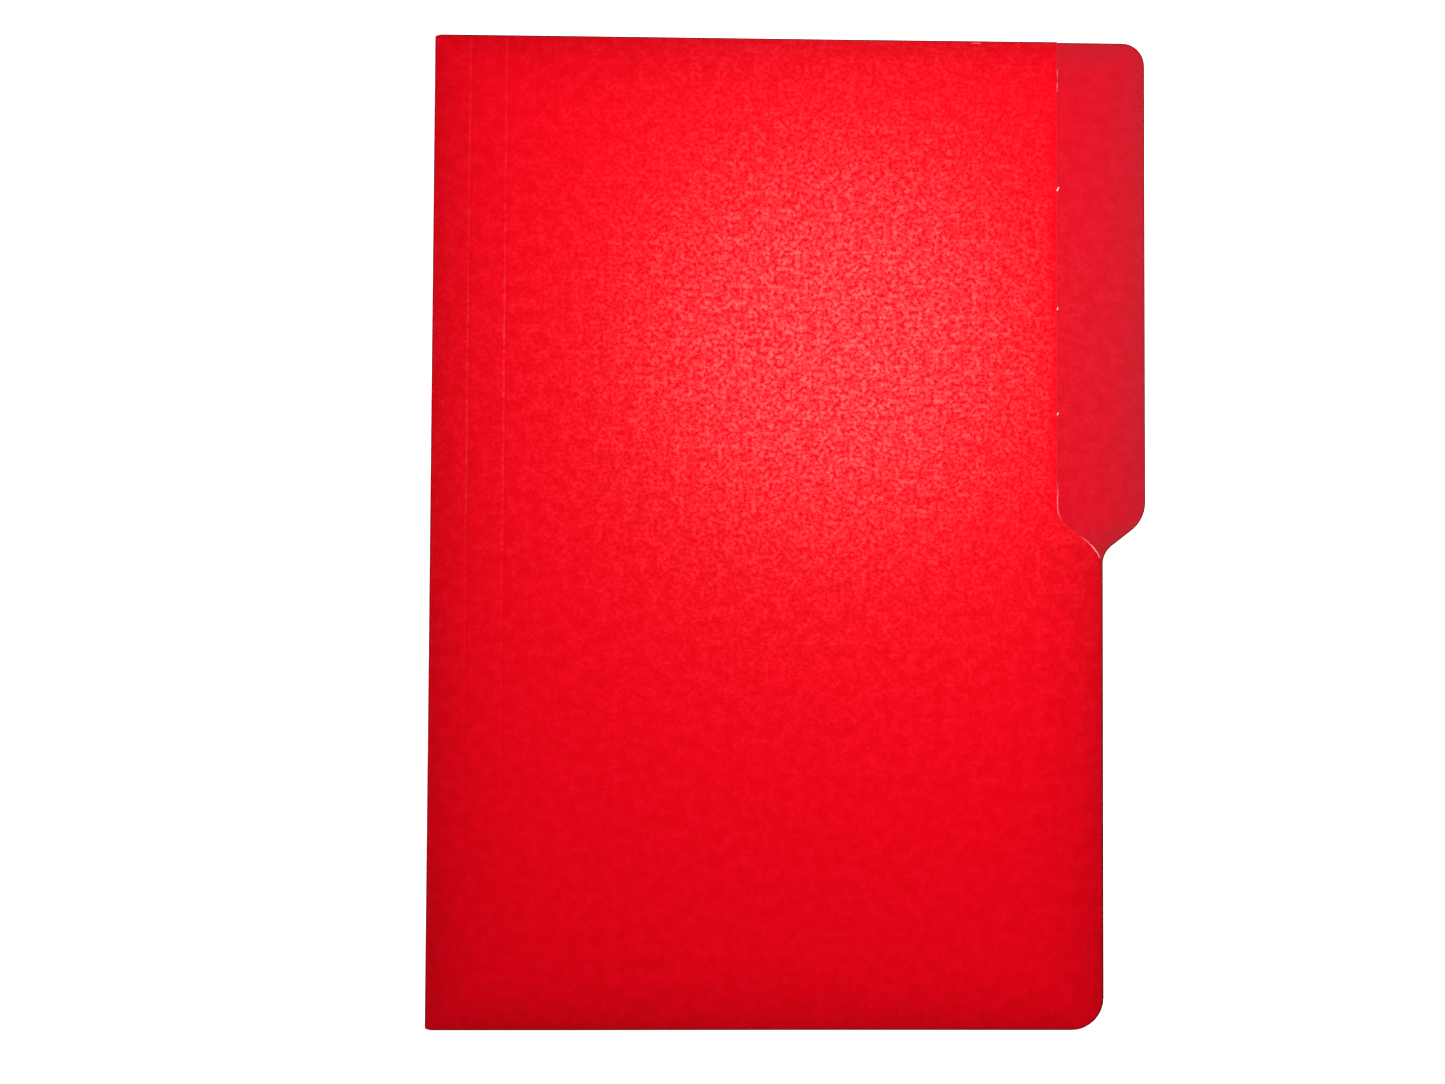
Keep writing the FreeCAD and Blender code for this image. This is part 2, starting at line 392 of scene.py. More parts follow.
def card_mesh(name, stations, cut_start, cut_end, sizes, recess_from=math.inf):
    """A closed sheet from rows of (outer, inner) points. cut_start and cut_end say whether its
    first and last columns are cut edges or seams. Above recess_from in Y, a cut edge column gets the
    recess band, a lighter painted shadow, in place of the darker painted shade of the edge band."""
    press_edges(stations, cut_start, cut_end, sizes)
    mesh = bmesh.new()
    outer = [[mesh.verts.new(o) for o, _ in row] for row in stations]
    inner = [[mesh.verts.new(i) for _, i in row] for row in stations]
    last_row, last_column = len(stations) - 1, len(stations[0]) - 1

    def add(corners, material):
        face = mesh.faces.new(corners)
        face.material_index = material
        face.smooth = True

    for j in range(last_row):
        for i in range(last_column):
            at_side = (cut_start and i == 0) or (cut_end and i == last_column - 1)
            at_end = abs(outer[j][i].co.y + outer[j + 1][i].co.y) / 2 > END_Y - sizes.pressed_band
            band = EDGE if at_side or at_end else None
            # Painted shadow along the cover's edge opposite the tab.
            if at_side and outer[j][i].co.y > recess_from:
                band = RECESS_SHADE
            add((outer[j][i], outer[j][i + 1], outer[j + 1][i + 1], outer[j + 1][i]),
                OUTSIDE if band is None else band)
            add((inner[j][i], inner[j + 1][i], inner[j + 1][i + 1], inner[j][i + 1]),
                INSIDE if band is None else band)
    for i in range(last_column):
        add((outer[0][i], inner[0][i], inner[0][i + 1], outer[0][i + 1]), CORE)
        add((outer[-1][i + 1], inner[-1][i + 1], inner[-1][i], outer[-1][i]), CORE)
    for j in range(last_row):
        add((outer[j][0], outer[j + 1][0], inner[j + 1][0], inner[j][0]), CORE)
        add((outer[j + 1][-1], outer[j][-1], inner[j][-1], inner[j + 1][-1]), CORE)

    weight = mesh.edges.layers.float.new("bevel_weight_edge")
    cut_faces = {face for face in mesh.faces if face.material_index == CORE}
    seam_columns = [column for column, cut in ((0, cut_start), (-1, cut_end)) if not cut]
    seam = {row[column] for grid in (outer, inner) for row in grid for column in seam_columns}
    for edge in mesh.edges:
        if len(cut_faces.intersection(edge.link_faces)) == 1:
            edge[weight] = 0 if seam.issuperset(edge.verts) else 1
    data = bpy.data.meshes.new(name)
    mesh.to_mesh(data)
    mesh.free()
    return data


def place_card(name, data, materials, sizes):
    """Links a card mesh, rounds its cut edges and lays its flat map on it."""
    piece = bpy.data.objects.new(name, data)
    bpy.context.scene.collection.objects.link(piece)
    for material in materials:
        data.materials.append(material)
    bevel = piece.modifiers.new("cut_edges", "BEVEL")
    bevel.limit_method = "WEIGHT"
    bevel.width = sizes.edge_bevel
    bevel.segments = 2
    bevel.use_clamp_overlap = False
    fix_modifiers(piece)
    piece.data.set_sharp_from_angle(angle=SHARP_ANGLE)
    lay_map(piece.data)
    return piece


def fix_modifiers(piece):
    """Makes the modifiers' result the piece's own mesh."""
    graph = bpy.context.evaluated_depsgraph_get()
    made = bpy.data.meshes.new_from_object(piece.evaluated_get(graph), depsgraph=graph)
    made.name = piece.data.name + "_card"
    piece.modifiers.clear()
    piece.data = made


def lay_map(data):
    """A map that gives each corner its place on the closed folder, in metres, so that the
    card's pattern stays put when it bends."""
    places = np.zeros(len(data.vertices) * 3)
    data.vertices.foreach_get("co", places)
    places = places.reshape(-1, 3)
    corners = np.zeros(len(data.loops), int)
    data.loops.foreach_get("vertex_index", corners)
    data.uv_layers.new(name=CARD_MAP).uv.foreach_set("vector", places[corners, :2].ravel())


# ---------------------------------------------------------------- shader groups


# Where each noise starts and stops counting as its feature
CLOUD_RANGE = (0.36, 0.66)
FLECK_RANGE = (0.56, 0.68)
SIZING_RANGE = (0.38, 0.66)
STREAK_RANGE = (0.60, 0.74)
WEAR_RANGE = (0.35, 0.6)
NO_FADE = (-2 * END_Y, -1.5 * END_Y)        # a fade so far down that the whole line shows


def new_group(name, inputs, outputs):
    """An empty shader group with float or vector inputs and outputs."""
    group = bpy.data.node_groups.new(name, "ShaderNodeTree")
    for label, kind, default in inputs:
        kind = f"NodeSocket{kind}"
        socket = group.interface.new_socket(name=label, in_out="INPUT", socket_type=kind)
        if default is not None:
            socket.default_value = default
    for label, kind in outputs:
        kind = f"NodeSocket{kind}"
        group.interface.new_socket(name=label, in_out="OUTPUT", socket_type=kind)
    return group, group.nodes.new("NodeGroupInput"), group.nodes.new("NodeGroupOutput")


def math_node(tree, operation, *values):
    """One step of arithmetic on sockets or plain numbers."""
    node = tree.nodes.new("ShaderNodeMath")
    node.operation = operation
    for socket, value in zip(node.inputs, values):
        if isinstance(value, bpy.types.NodeSocket):
            tree.links.new(value, socket)
        else:
            socket.default_value = value
    return node.outputs[0]


def scaled(tree, value, factor):
    return math_node(tree, "MULTIPLY", value, factor)


def grain_noise(tree, vector, size, detail):
    """Noise whose features are about size metres wide."""
    place = tree.nodes.new("ShaderNodeVectorMath")
    place.operation = "SCALE"
    tree.links.new(vector, place.inputs[0])
    tree.links.new(math_node(tree, "DIVIDE", 1.0, size), place.inputs["Scale"])
    noise = tree.nodes.new("ShaderNodeTexNoise")
    noise.inputs["Scale"].default_value = 1
    noise.inputs["Detail"].default_value = detail
    tree.links.new(place.outputs[0], noise.inputs["Vector"])
    return noise.outputs[0]


def smooth_range(tree, value, low, high):
    """0 below low and 1 above high, with a smooth rise between them."""
    node = tree.nodes.new("ShaderNodeMapRange")
    node.interpolation_type = "SMOOTHSTEP"
    tree.links.new(value, node.inputs["Value"])
    for label, limit in (("From Min", low), ("From Max", high)):
        if isinstance(limit, bpy.types.NodeSocket):
            tree.links.new(limit, node.inputs[label])
        else:
            node.inputs[label].default_value = limit
    return node.outputs[0]


def streak_noise(tree, vector, width, long, turn):
    """Short thin streaks that run in one direction."""
    mapping = tree.nodes.new("ShaderNodeMapping")
    mapping.vector_type = "TEXTURE"
    tree.links.new(vector, mapping.inputs["Vector"])
    mapping.inputs["Rotation"].default_value = (0, 0, turn)
    size = tree.nodes.new("ShaderNodeCombineXYZ")
    for label, value in (("X", width), ("Y", long), ("Z", width)):
        tree.links.new(value, size.inputs[label])
    tree.links.new(size.outputs[0], mapping.inputs["Scale"])
    noise = tree.nodes.new("ShaderNodeTexNoise")
    noise.inputs["Scale"].default_value = 1
    noise.inputs["Detail"].default_value = 1
    tree.links.new(mapping.outputs[0], noise.inputs["Vector"])
    return smooth_range(tree, noise.outputs[0], *STREAK_RANGE)


def card_grain_group():
    """The cloudy formation of pressed card, its short fibres and its matt flecks."""
    group, given, result = new_group(
        "card_grain",
        [("Vector", "Vector", None), ("Cloud Size", "Float", 3 * MM), ("Fibre Size", "Float", 0.5 * MM),
         ("Fleck Size", "Float", 1.2 * MM)],
        [(label, "Float") for label in ("Cloud", "Fibre", "Fleck", "Shine", "Height")])
    vector = given.outputs["Vector"]
    width = given.outputs["Fibre Size"]
    cloud_detail, fine_detail = 6, 3

    cloud = grain_noise(group, vector, given.outputs["Cloud Size"], cloud_detail)
    cloud = smooth_range(group, cloud, *CLOUD_RANGE)
    fleck = grain_noise(group, vector, given.outputs["Fleck Size"], fine_detail)
    fleck = smooth_range(group, fleck, *FLECK_RANGE)

    directions, fibre_slenderness, first_turn = 3, 3.5, 0.3
    long = scaled(group, width, fibre_slenderness)
    fibre = None
    for n in range(directions):
        turn = (n + first_turn) * math.pi / directions
        streaks = streak_noise(group, vector, width, long, turn)
        fibre = streaks if fibre is None else math_node(group, "MAXIMUM", fibre, streaks)

    # The sizing shines in patches, most of all in the clouds and on the fibres, but not on flecks
    patch_width, cloud_gloss, even_gloss, fibre_gloss, fleck_matt = 3.3, 0.6, 0.4, 0.8, 0.85
    sizing = grain_noise(group, vector, scaled(group, width, patch_width), fine_detail)
    sizing = smooth_range(group, sizing, *SIZING_RANGE)
    in_cloud = math_node(group, "ADD", scaled(group, cloud, cloud_gloss), even_gloss)
    smooth = math_node(group, "MULTIPLY", sizing, in_cloud)
    smooth = math_node(group, "MAXIMUM", smooth, scaled(group, fibre, fibre_gloss))
    bright = math_node(group, "SUBTRACT", 1.0, scaled(group, fleck, fleck_matt))
    shine = math_node(group, "MULTIPLY", smooth, bright)

    cloud_rise, fibre_rise, fleck_sink = 0.5, 0.4, 0.4
    raised = math_node(group, "ADD", scaled(group, cloud, cloud_rise), scaled(group, fibre, fibre_rise))
    height = math_node(group, "SUBTRACT", raised, scaled(group, fleck, fleck_sink))
    for label, value in (("Cloud", cloud), ("Fibre", fibre), ("Fleck", fleck), ("Shine", shine),
                         ("Height", height)):
        group.links.new(value, result.inputs[label])
    return group


def line_mark_group():
    """A broken line along the spine's direction, as on a crease, for rub wear, painted highlight and painted
    shade alike. It fades in along Y.
    """
    group, given, result = new_group(
        "line_mark",
        [("Vector", "Vector", None), ("Line", "Float", 0.0), ("Reach", "Float", 0.5 * MM),
         ("Fade Low", "Float", NO_FADE[0]), ("Fade High", "Float", NO_FADE[1])],
        [("Line Mark", "Float")])
    vector = given.outputs["Vector"]
    parts = group.nodes.new("ShaderNodeSeparateXYZ")
    group.links.new(vector, parts.inputs[0])
    offset = math_node(group, "SUBTRACT", parts.outputs["X"], given.outputs["Line"])
    away = math_node(group, "DIVIDE", math_node(group, "ABSOLUTE", offset), given.outputs["Reach"])
    line = math_node(group, "MAXIMUM", math_node(group, "SUBTRACT", 1.0, away), 0.0)
    gap_size, gap_detail = 9 * MM, 4
    whole = smooth_range(group, grain_noise(group, vector, gap_size, gap_detail), *WEAR_RANGE)
    fade = smooth_range(group, parts.outputs["Y"], given.outputs["Fade Low"], given.outputs["Fade High"])
    worn = math_node(group, "MULTIPLY", math_node(group, "MULTIPLY", line, whole), fade)
    group.links.new(worn, result.inputs["Line Mark"])
    return group


def border_shade_group():
    """How near the card is to its outer edges, for the painted shade that darkens the faces towards them."""
    group, given, result = new_group(
        "border_shade_nodes",
        [("Vector", "Vector", None), ("Reach", "Float", 12 * MM), ("Fold X", "Float", CAD_LOW.x),
         ("Free Edge X", "Float", FREE_EDGE), ("Tab Reach", "Float", TAB_REACH),
         ("Shoulder Y", "Float", TAB_FOOT), ("Half Length", "Float", END_Y)],
        [("Shade", "Float")])
    parts = group.nodes.new("ShaderNodeSeparateXYZ")
    group.links.new(given.outputs["Vector"], parts.inputs[0])
    x, y = parts.outputs["X"], parts.outputs["Y"]
    above = math_node(group, "SUBTRACT", y, given.outputs["Shoulder Y"])
    on_tab = smooth_range(group, above, 0, TAB_REACH)
    tab = math_node(group, "MULTIPLY", on_tab, given.outputs["Tab Reach"])
    edge = math_node(group, "ADD", given.outputs["Free Edge X"], tab)
    from_edge = math_node(group, "SUBTRACT", edge, x)
    from_fold = math_node(group, "SUBTRACT", x, given.outputs["Fold X"])
    from_end = math_node(group, "SUBTRACT", given.outputs["Half Length"], math_node(group, "ABSOLUTE", y))
    end_fading = 1.25
    from_end = scaled(group, from_end, end_fading)
    nearest = math_node(group, "MINIMUM", math_node(group, "MINIMUM", from_edge, from_fold), from_end)
    reaches_away = math_node(group, "DIVIDE", nearest, given.outputs["Reach"])
    shade = math_node(group, "EXPONENT", scaled(group, reaches_away, -1.0))
    group.links.new(math_node(group, "MINIMUM", shade, 1.0), result.inputs["Shade"])
    return group


def place_group(tree, name, vector, **values):
    """A shader group in a material, with its own values."""
    node = tree.nodes.new("ShaderNodeGroup")
    node.node_tree = bpy.data.node_groups[name]
    tree.links.new(vector, node.inputs["Vector"])
    for label, value in values.items():
        node.inputs[label.replace("_", " ").title()].default_value = value
    return node


# ---------------------------------------------------------------- materials


# A marked line's X and half width, the Y where it fades in and is whole, its colour and its strength. Such
# lines mark rub wear, painted highlight and painted shade.
LineMark = namedtuple("LineMark", "x reach fade_low fade_high tint strength")
MIX_FIRST, MIX_SECOND, MIX_RESULT = 6, 7, 2     # the colour sockets of a mix


def mix_colours(tree, amount, first, second):
    """The first colour where amount is 0, and the second where it is 1."""
    node = tree.nodes.new("ShaderNodeMix")
    node.data_type = "RGBA"
    tree.links.new(amount, node.inputs["Factor"])
    for socket, value in ((node.inputs[MIX_FIRST], first), (node.inputs[MIX_SECOND], second)):
        if isinstance(value, bpy.types.NodeSocket):
            tree.links.new(value, socket)
        else:
            socket.default_value = (*value, 1)
    return node.outputs[MIX_RESULT]


def new_material(name):
    """A material with its node tree, its shader and the card's flat map."""
    material = bpy.data.materials.new(name)
    material.use_nodes = True
    tree = material.node_tree
    shader = tree.nodes["Principled BSDF"]
    card_map = tree.nodes.new("ShaderNodeUVMap")
    card_map.uv_map = CARD_MAP
    return material, tree, shader, card_map.outputs[0]


def add_bump(tree, shader, height, distance, strength):
    bump = tree.nodes.new("ShaderNodeBump")
    bump.inputs["Distance"].default_value = distance
    bump.inputs["Strength"].default_value = strength
    tree.links.new(height, bump.inputs["Height"])
    tree.links.new(bump.outputs[0], shader.inputs["Normal"])


def face_material(name, plain, deep, lines, border_shade, fold_x, gloss, finish):
    """Card face: cloudy red, glossier where its sizing has taken, marked by lines of rub wear, painted
    highlight and painted shade, and darkened by painted shade towards its outer edges."""
    material, tree, shader, vector = new_material(name)
    grain = place_group(tree, "card_grain", vector, cloud_size=finish.cloud_size,
                        fibre_size=finish.fibre_size, fleck_size=finish.fleck_size)
    base = mix_colours(tree, grain.outputs["Cloud"], deep, plain)
    base = mix_colours(tree, scaled(tree, grain.outputs["Fleck"], finish.fleck_depth), base, deep)
    for line in lines:
        mark = place_group(tree, "line_mark", vector, line=line.x, reach=line.reach,
                           fade_low=line.fade_low, fade_high=line.fade_high)
        base = mix_colours(tree, scaled(tree, mark.outputs["Line Mark"], line.strength), base, line.tint)
    # Painted shade: the face darkens towards its outer edges.
    edge = place_group(tree, "border_shade_nodes", vector, reach=finish.border_shade_reach, fold_x=fold_x)
    base = mix_colours(tree, scaled(tree, edge.outputs["Shade"], finish.border_shade_depth), base, border_shade)
    tree.links.new(base, shader.inputs["Base Color"])
    smoother = scaled(tree, grain.outputs["Cloud"], finish.cloud_smooth)
    tree.links.new(math_node(tree, "SUBTRACT", finish.face_rough, smoother), shader.inputs["Roughness"])
    tree.links.new(scaled(tree, grain.outputs["Shine"], gloss), shader.inputs["Coat Weight"])
    shader.inputs["Coat Roughness"].default_value = finish.sizing_rough
    shader.inputs["Specular IOR Level"].default_value = 0.02
    add_bump(tree, shader, grain.outputs["Height"], finish.relief, 0.8)
    return material


def shaded_edge_material(name, plain, worn):
    """Edge that the die has pressed: smooth, with a few worn fibres, and darkened as painted shade."""
    material, tree, shader, vector = new_material(name)
    grain = place_group(tree, "card_grain", vector, cloud_size=6 * MM, fibre_size=0.4 * MM,
                        fleck_size=2 * MM)
    worn_share, plain_rough, fibre_rough = 0.12, 0.5, 0.2
    amount = scaled(tree, grain.outputs["Fleck"], worn_share)
    tree.links.new(mix_colours(tree, amount, plain, worn), shader.inputs["Base Color"])
    rough = math_node(tree, "ADD", plain_rough, scaled(tree, grain.outputs["Fibre"], fibre_rough))
    tree.links.new(rough, shader.inputs["Roughness"])
    shader.inputs["Specular IOR Level"].default_value = 0.2
    add_bump(tree, shader, grain.outputs["Height"], 0.03 * MM, 0.5)
    return material


def core_material(name, plain, deep):
    """Rough fibrous core of the card, where it is cut or torn."""
    material, tree, shader, vector = new_material(name)
    grain = place_group(tree, "card_grain", vector, cloud_size=1.5 * MM, fibre_size=0.3 * MM,
                        fleck_size=2 * MM)
    deep_share, plain_rough, cloud_rough = 0.4, 0.75, 0.2
    amount = scaled(tree, grain.outputs["Fleck"], deep_share)
    tree.links.new(mix_colours(tree, amount, plain, deep), shader.inputs["Base Color"])
    rough = math_node(tree, "ADD", plain_rough, scaled(tree, grain.outputs["Cloud"], cloud_rough))
    tree.links.new(rough, shader.inputs["Roughness"])
    shader.inputs["Specular IOR Level"].default_value = 0.15
    add_bump(tree, shader, grain.outputs["Height"], 0.05 * MM, 0.7)
    return material


def floor_material(tint, glow):
    """Plain matt floor that gives off a little light of its own."""
    material = bpy.data.materials.new("studio_floor")
    material.use_nodes = True
    shader = material.node_tree.nodes["Principled BSDF"]
    shader.inputs["Base Color"].default_value = (*tint, 1)
    shader.inputs["Roughness"].default_value = 0.9
    shader.inputs["Specular IOR Level"].default_value = 0.1
    shader.inputs["Emission Color"].default_value = (1, 1, 1, 1)
    shader.inputs["Emission Strength"].default_value = glow
    return material


def outside_lines(colours, finish):
    """The lines of the outer face: both scores and the line beside the fold, partly rub wear and partly
    painted highlight, and the painted shade of the bend.
    """
    upper_half = (-50 * MM, 50 * MM)
    beside_fold = CAD_LOW.x + 0.9 * MM
    # Partly rub wear, partly painted highlight on the scores, fading out towards the bottom end.
    scores = [LineMark(score.x, finish.score_reach, *upper_half, colours.worn, finish.score_wear_and_highlight)
              for score in (INNER_SCORE, OUTER_SCORE)]
    # Partly rub wear, partly painted highlight beside the fold.
    fold = LineMark(beside_fold, finish.score_reach, *NO_FADE, colours.worn, finish.fold_wear_and_highlight)
    # Painted shade on the outside of the bend at the fold.
    bend = LineMark(CAD_LOW.x, finish.bend_reach, *NO_FADE, colours.edge, 1.0)
    return [*scores, fold, bend]


def inside_shadow_lines(colours, finish, sizes):
    """The painted shadow line of the inner face, on the tab where the cover's edge lies over it."""
    contact_shadow_x = FREE_EDGE - sizes.recess_reach + 0.5 * MM
    along_tab = (0, 10 * MM)
    return [LineMark(contact_shadow_x, finish.contact_shadow_reach, *along_tab, colours.contact_shadow, finish.contact_shadow_depth)]


def card_materials(scene):
    """The five surfaces of the card, in the order of their numbers on the mesh. The first call
    also makes the three that the nicks and burrs wear."""
    colours, finish = scene.folder_colours, scene.card_finish
    if "card_outside" not in bpy.data.materials:
        card_grain_group()
        line_mark_group()
        border_shade_group()
        face_material("card_outside", colours.outside, colours.outside_deep,
                      outside_lines(colours, finish), colours.border_shade, CAD_LOW.x,
                      finish.outside_gloss, finish)
        far_from_fold = -2 * TAB_EDGE       # the inner face gets no painted shade along the fold
        face_material("card_inside", colours.inside, colours.inside_deep,
                      inside_shadow_lines(colours, finish, scene.folder_sizes), colours.border_shade_inside,
                      far_from_fold, finish.inside_gloss, finish)
        shaded_edge_material("card_edge_shade", colours.edge, colours.core)
        shaded_edge_material("card_recess_shade", colours.recess, colours.worn)
        core_material("card_core", colours.core, colours.edge)
        core_material("card_torn", colours.torn, colours.core)
        # The burrs: pale core with painted highlight.
        core_material("card_burr_highlight", colours.burr, colours.worn)
        core_material("card_worn", colours.worn, colours.outside_deep)
    names = ("card_outside", "card_inside", "card_edge_shade", "card_core", "card_recess_shade")
    return [bpy.data.materials[name] for name in names]


# ---------------------------------------------------------------- pieces


class FOLDER_OT_back_sheet(bpy.types.Operator):
    """Make the back leaf with its tab, the main fold and the first half of the inner strip"""

    bl_idname = "folder.back_sheet"
    bl_label = "Back sheet"

    def execute(self, context):
        sizes = context.scene.folder_sizes
        count = round((FREE_EDGE - FOLD.x) / sizes.face_step)
        fold_steps = 12
        strip_steps = 4
        strip = [FOLD.x + (INNER_SEAM - FOLD.x) * n / strip_steps for n in range(1, strip_steps + 1)]
        stations = []
        for y in row_places(sizes):
            slope = edge_slope(back_edge, y, sizes)
            columns = leaf_columns(FOLD.x, back_edge(y, sizes), slope, sizes, count)
            row = [back_station(x, y) for x in reversed(columns)]
            row += [fold_station(math.pi * n / fold_steps, y, sizes) for n in range(fold_steps + 1)]
            row += [cover_station(x, y, sizes) for x in strip]
            for points in row:
                for point in points:
                    point.y = end_wear(point.x, point.y, sizes)
            stations.append(row)
        data = card_mesh("back_sheet", stations, True, False, sizes)
        piece = place_card("back_sheet", data, card_materials(context.scene), sizes)
        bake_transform(piece)
        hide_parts("back_leaf", "index_tab", "spine_fold")
        return {"FINISHED"}


class FOLDER_OT_expansion_strip(bpy.types.Operator):
    """Make the card on both sides of the inner score"""

    bl_idname = "folder.expansion_strip"
    bl_label = "Expansion strip"

    def execute(self, context):
        sizes = context.scene.folder_sizes
        columns = score_columns(INNER_SCORE, INNER_SEAM, OUTER_SEAM, sizes)
        stations = [[cover_station(x, y, sizes) for x in columns] for y in row_places(sizes)]
        data = card_mesh("expansion_strip", stations, False, False, sizes)
        piece = place_card("expansion_strip", data, card_materials(context.scene), sizes)
        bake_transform(piece)
        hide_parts("inner_gusset", "inner_score")
        return {"FINISHED"}


class FOLDER_OT_front_cover(bpy.types.Operator):
    """Make the cover from the middle of the outer strip to its free edge"""

    bl_idname = "folder.front_cover"
    bl_label = "Front cover"

    def execute(self, context):
        sizes = context.scene.folder_sizes
        leaf_start = OUTER_SCORE.x + 3 * sizes.crease_zone
        near = score_columns(OUTER_SCORE, OUTER_SEAM, leaf_start, sizes)
        count = round((FREE_EDGE - leaf_start) / sizes.face_step)
        stations = []
        for y in row_places(sizes):
            slope = edge_slope(cover_edge, y, sizes)
            columns = near + leaf_columns(leaf_start, cover_edge(y, sizes), slope, sizes, count)
            stations.append([cover_station(x, y, sizes) for x in columns])
        recess_from = shoulder_middle(sizes) - sizes.recess_reach / 2
        data = card_mesh("front_cover", stations, False, True, sizes, recess_from)
        piece = place_card("front_cover", data, card_materials(context.scene), sizes)
        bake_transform(piece)
        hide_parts("outer_gusset", "outer_score", "front_leaf")
        return {"FINISHED"}


class FOLDER_OT_die_nicks(bpy.types.Operator):
    """Make the torn nicks and the ragged burrs that the cutting die has left on the cover"""

    bl_idname = "folder.die_nicks"
    bl_label = "Die nicks"

    def execute(self, context):
        sizes = context.scene.folder_sizes
        chance = random.Random(11)
        mesh = bmesh.new()
        for down, share_size in STEP_NICKS:
            place = edge_place(END_Y - down * MM, sizes)
            tuft(mesh, place, NICK_TURN, share_size * sizes.tuft_size, chance, TORN)
        for side, along, share_size in END_NICKS:
            y = side * (END_Y - END_NICK_INSET * sizes.pressed_band)
            place = cover_station(CAD_LOW.x + along * MM, y, sizes)[0]
            tuft(mesh, place, side * math.pi / 2, share_size * END_NICK_SIZE * sizes.tuft_size, chance, WORN)
        for low, high, share_wide in EDGE_BURRS:
            count = round((high - low) * MM / sizes.burr_step)
            rises = [(low + (high - low) * n / count) * MM for n in range(count + 1)]
            burr(mesh, [edge_place(y, sizes) for y in rises], share_wide * sizes.burr_width, chance)
        low, high, down, share_wide = END_BURR
        count = round((high - low) / END_BURR_STEP)
        steps = [CAD_LOW.x + (low + END_BURR_STEP * n) * MM for n in range(count + 1)]
        places = [cover_station(x, END_Y - down * MM, sizes)[0] for x in steps]
        burr(mesh, places, share_wide * sizes.burr_width, chance)
        data = bpy.data.meshes.new("die_nicks")
        mesh.to_mesh(data)
        mesh.free()
        piece = bpy.data.objects.new("die_nicks", data)
        context.scene.collection.objects.link(piece)
        card_materials(context.scene)
        for name in ("card_torn", "card_burr_highlight", "card_worn"):
            data.materials.append(bpy.data.materials[name])
        lay_map(data)
        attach(piece, "cover")
        return {"FINISHED"}


TORN, BURR, WORN = range(3)

# Distances in mm and shares of the full size. A nick on the tab's step has its distance down from
# the top end, and a nick on an end has its end (1 is the tab's) and its distance from the fold.
# A burr on the cover's free edge has the Y of both its ends. The burr at the top end has the
# distances of its ends from the fold and its distance down.
STEP_NICKS = ((52.7, 1.0), (94.9, 0.8), (131.9, 0.8))
END_NICKS = ((1, 89, 0.5), (1, 177, 0.7), (1, 205, 0.7), (1, 215, 0.5),
             (-1, 61, 0.5), (-1, 112, 0.6), (-1, 129, 0.5))
EDGE_BURRS = ((159.5, 163.5, 0.45), (155, 159, 0.45), (3.5, 17.5, 0.6), (-9.6, -1.9, 1.1))
END_BURR = (188, 192, 0.8, 0.5)
END_BURR_STEP = 0.5
NICK_TURN = 1.25            # direction of the fibres on the step, in radians from X
END_NICK_INSET = 1.2        # how many pressed bands an end's nick is in from the end
END_NICK_SIZE = 0.7
TUFT_RINGS = ((1, -0.1), (0.8, 0.12), (0.35, 0.2))      # share of the radius, and height in sizes


def edge_place(y, sizes):
    """The place on the cover's outer face, just inside its free edge, at Y."""
    inset = 0.1 * MM
    return cover_station(cover_edge(y, sizes) - inset, y, sizes)[0]


def close_rings(mesh, rings, material):
    """Faces round a row of rings of points, with both ends closed."""
    rings = [[mesh.verts.new(point) for point in ring] for ring in rings]
    faces = [tuple(reversed(rings[0])), tuple(rings[-1])]
    for low, high in zip(rings, rings[1:]):
        for n in range(len(low)):
            after = (n + 1) % len(low)
            faces.append((low[n], low[after], high[after], high[n]))
    for corners in faces:
        mesh.faces.new(corners).material_index = material


def fibre(mesh, root, turn, long, wide, rise, material):
    """A torn fibre: a thin tapering lash that lifts off the card."""
    ahead = Vector((math.cos(turn), math.sin(turn), 0))
    aside = Vector((-ahead.y, ahead.x, 0))
    taper = 0.8
    rings = []
    for along in (0, 0.35, 0.7, 1):
        half = wide / 2 * (1 - taper * along)
        middle = root + ahead * long * along + Vector((0, 0, rise * along * along))
        rings.append([middle - aside * half, middle + aside * half, middle + Vector((0, 0, half))])
    close_rings(mesh, rings, material)


def tuft(mesh, place, turn, size, chance, material):
    """A nick: a small torn boss of the card's core with a few fibres that stand out of it."""
    sides, narrowness, fibres = 9, 0.5, 7
    ahead = Vector((math.cos(turn), math.sin(turn), 0))
    aside = Vector((-ahead.y, ahead.x, 0))
    rings = []
    for share_out, share_up in TUFT_RINGS:
        ring = []
        for n in range(sides):
            bearing = 2 * math.pi * n / sides
            reach = size / 2 * share_out * chance.uniform(0.7, 1.15)
            ring.append(place + ahead * reach * math.cos(bearing)
                        + aside * reach * narrowness * math.sin(bearing) + Vector((0, 0, size * share_up)))
        rings.append(ring)
    close_rings(mesh, rings, material)
    for _ in range(fibres):
        fibre_turn = turn + chance.uniform(-0.3, 0.3)
        long = size * chance.uniform(0.6, 1.1)
        wide = size * chance.uniform(0.15, 0.28)
        rise = size * chance.uniform(0.05, 0.3)
        fibre(mesh, place, fibre_turn, long, wide, rise, material)


def burr(mesh, places, wide, chance):
    """A ragged raised lip that follows a cut edge and thins out at both ends."""
    thinnest, wander, lip_height = 0.12, 0.25, 0.4
    rings = []
    last = len(places) - 1
    for n, place in enumerate(places):
        ahead = (places[min(n + 1, last)] - places[max(n - 1, 0)]).normalized()
        aside = Vector((-ahead.y, ahead.x, 0))
        thick = wide * max(thinnest, math.sin(math.pi * n / last)) * chance.uniform(0.35, 1)
        place = place + aside * wide * chance.uniform(-wander, wander)
        rings.append([place - aside * thick / 2, place + aside * thick / 2,
                      place + Vector((0, 0, thick * lip_height))])
    close_rings(mesh, rings, BURR)


# ---------------------------------------------------------------- stage


